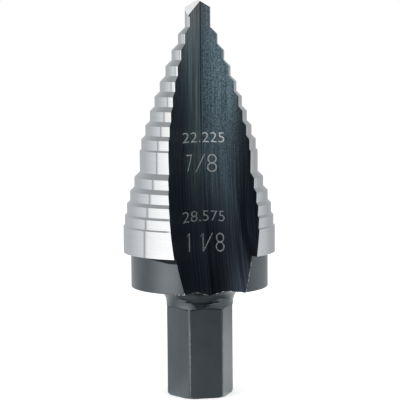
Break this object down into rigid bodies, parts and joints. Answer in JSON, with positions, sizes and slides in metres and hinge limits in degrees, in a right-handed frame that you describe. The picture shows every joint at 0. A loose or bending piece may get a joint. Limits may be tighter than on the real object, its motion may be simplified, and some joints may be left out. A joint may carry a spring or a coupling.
{
  "type": "step drill",
  "caption": "Step drill with a stepped cone, one straight flute, a plain collar and a hexagonal shank, for opening holes in sheet metal to stepped sizes.",
  "frame": {"origin": "centre of the flat end of the shank", "axes": "+Z along the drill's axis from the shank end to the tip; one flat of the shank faces -Y, and the flute opens 1.6 degrees to the +X side of -Y"},
  "size_m": [0.0286, 0.0267, 0.0742],
  "materials": {
    "tool_steel": "black oxide with ground bright lands"
  },
  "bodies": {
    "root": {"step_drill": "tool_steel"}
  },
  "joints": []
}
